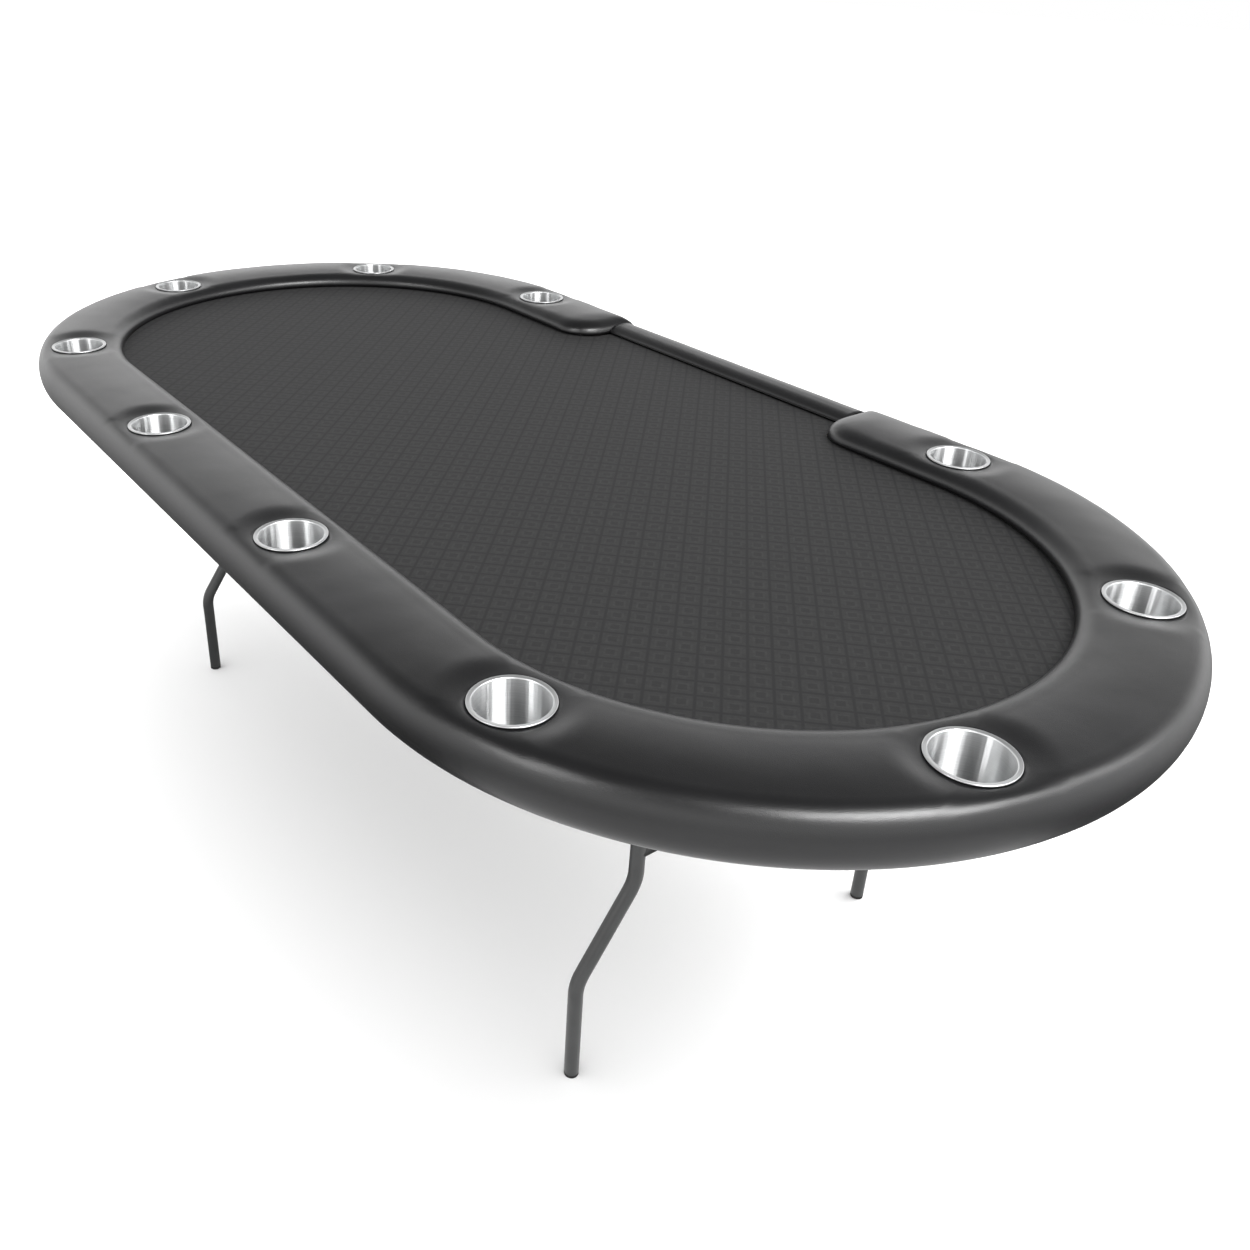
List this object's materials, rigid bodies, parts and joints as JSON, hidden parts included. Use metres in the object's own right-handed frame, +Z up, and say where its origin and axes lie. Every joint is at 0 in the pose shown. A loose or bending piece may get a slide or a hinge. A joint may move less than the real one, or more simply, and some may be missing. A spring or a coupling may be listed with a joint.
{
  "type": "poker table",
  "caption": "Oval poker table with a padded rail, drop-in cup holders, a straight dealer's place and two folding leg frames.",
  "frame": {"origin": "on the floor under the middle of the table", "axes": "+X along the table's length, +Y towards the dealer's side, +Z up"},
  "size_m": [2.33, 1.16, 0.762],
  "materials": {
    "plywood": "black-stained plywood",
    "board_wood": "black-stained softwood",
    "foam": "open-cell foam",
    "speed_cloth": "woven, faint diamond pattern",
    "vinyl": "satin, fine grain",
    "steel_cup": "polished inside, satin flange",
    "powder_coat": "satin black powder coat",
    "zinc_steel": "zinc plated",
    "black_rubber": "matt",
    "black_plastic": "matt"
  },
  "bodies": {
    "table_top": {"deck": "plywood", "cloth_pad": "foam", "speed_cloth": "speed_cloth", "rail_base": "plywood", "foam_front": "foam", "foam_right_front": "foam", "foam_right_rear": "foam", "foam_left_front": "foam", "foam_left_rear": "foam", "rail_cover": "vinyl", "dealer_base": "plywood", "dealer_foam": "foam", "dealer_cover": "vinyl", "fascia_straights": "plywood", "fascia_bends": "plywood", "long_boards": "board_wood", "leg_boards": "board_wood", "stay_boards": "board_wood", "rail_bolts": "zinc_steel", "rail_t_nuts": "zinc_steel", "frame_screws": "zinc_steel", "bracket_screws": "zinc_steel", "right_pivot_brackets": "powder_coat", "right_stay_bracket": "powder_coat", "right_stay_pin": "zinc_steel", "left_pivot_brackets": "powder_coat", "left_stay_bracket": "powder_coat", "left_stay_pin": "zinc_steel"},
    "right_leg_frame": {"right_leg_tubes": "powder_coat", "right_pivot_tube": "powder_coat", "right_crossbar": "powder_coat", "right_feet": "black_rubber", "right_tube_plugs": "black_plastic", "right_stay_collars": "black_plastic"},
    "right_lower_stay": {"right_lower_stay": "powder_coat", "right_stay_rivet": "zinc_steel"},
    "right_upper_stay": {"right_upper_stay": "powder_coat"},
    "left_leg_frame": {"left_leg_tubes": "powder_coat", "left_pivot_tube": "powder_coat", "left_crossbar": "powder_coat", "left_feet": "black_rubber", "left_tube_plugs": "black_plastic", "left_stay_collars": "black_plastic"},
    "left_lower_stay": {"left_lower_stay": "powder_coat", "left_stay_rivet": "zinc_steel"},
    "left_upper_stay": {"left_upper_stay": "powder_coat"},
    "cup_holder_1": {"cup_holder_1": "steel_cup"},
    "cup_holder_2": {"cup_holder_2": "steel_cup"},
    "cup_holder_3": {"cup_holder_3": "steel_cup"},
    "cup_holder_4": {"cup_holder_4": "steel_cup"},
    "cup_holder_5": {"cup_holder_5": "steel_cup"},
    "cup_holder_6": {"cup_holder_6": "steel_cup"},
    "cup_holder_7": {"cup_holder_7": "steel_cup"},
    "cup_holder_8": {"cup_holder_8": "steel_cup"},
    "cup_holder_9": {"cup_holder_9": "steel_cup"},
    "cup_holder_10": {"cup_holder_10": "steel_cup"}
  },
  "joints": [
    {"name": "right_leg_fold", "type": "hinge", "parent": "table_top", "child": "right_leg_frame", "pos_m": [0.66, 0, 0.65], "axis": [0, 1, 0], "range_deg": [0, 90]},
    {"name": "right_upper_stay_swing", "type": "hinge", "parent": "table_top", "child": "right_upper_stay", "pos_m": [0.32, 0, 0.671], "axis": [0, 1, 0], "range_deg": [0, 133]},
    {"name": "right_lower_stay_swing", "type": "hinge", "parent": "right_leg_frame", "child": "right_lower_stay", "pos_m": [0.66, 0, 0.372], "axis": [0, 1, 0], "range_deg": [-132, 0]},
    {"name": "left_leg_fold", "type": "hinge", "parent": "table_top", "child": "left_leg_frame", "pos_m": [-0.66, 0, 0.65], "axis": [0, -1, 0], "range_deg": [0, 90]},
    {"name": "left_upper_stay_swing", "type": "hinge", "parent": "table_top", "child": "left_upper_stay", "pos_m": [-0.32, 0, 0.671], "axis": [0, -1, 0], "range_deg": [0, 133]},
    {"name": "left_lower_stay_swing", "type": "hinge", "parent": "left_leg_frame", "child": "left_lower_stay", "pos_m": [-0.66, 0, 0.372], "axis": [0, -1, 0], "range_deg": [-132, 0]},
    {"name": "cup_holder_1_lift", "type": "slide", "parent": "table_top", "child": "cup_holder_1", "axis": [0, 0, 1], "range_m": [0, 0.09]},
    {"name": "cup_holder_2_lift", "type": "slide", "parent": "table_top", "child": "cup_holder_2", "axis": [0, 0, 1], "range_m": [0, 0.09]},
    {"name": "cup_holder_3_lift", "type": "slide", "parent": "table_top", "child": "cup_holder_3", "axis": [0, 0, 1], "range_m": [0, 0.09]},
    {"name": "cup_holder_4_lift", "type": "slide", "parent": "table_top", "child": "cup_holder_4", "axis": [0, 0, 1], "range_m": [0, 0.09]},
    {"name": "cup_holder_5_lift", "type": "slide", "parent": "table_top", "child": "cup_holder_5", "axis": [0, 0, 1], "range_m": [0, 0.09]},
    {"name": "cup_holder_6_lift", "type": "slide", "parent": "table_top", "child": "cup_holder_6", "axis": [0, 0, 1], "range_m": [0, 0.09]},
    {"name": "cup_holder_7_lift", "type": "slide", "parent": "table_top", "child": "cup_holder_7", "axis": [0, 0, 1], "range_m": [0, 0.09]},
    {"name": "cup_holder_8_lift", "type": "slide", "parent": "table_top", "child": "cup_holder_8", "axis": [0, 0, 1], "range_m": [0, 0.09]},
    {"name": "cup_holder_9_lift", "type": "slide", "parent": "table_top", "child": "cup_holder_9", "axis": [0, 0, 1], "range_m": [0, 0.09]},
    {"name": "cup_holder_10_lift", "type": "slide", "parent": "table_top", "child": "cup_holder_10", "axis": [0, 0, 1], "range_m": [0, 0.09]}
  ],
  "couplings": [
    {"joint": "right_upper_stay_swing", "follows": "right_leg_fold", "ratio": 1.4724},
    {"joint": "right_lower_stay_swing", "follows": "right_leg_fold", "ratio": -1.4592},
    {"joint": "left_upper_stay_swing", "follows": "left_leg_fold", "ratio": 1.4724},
    {"joint": "left_lower_stay_swing", "follows": "left_leg_fold", "ratio": -1.4592}
  ]
}
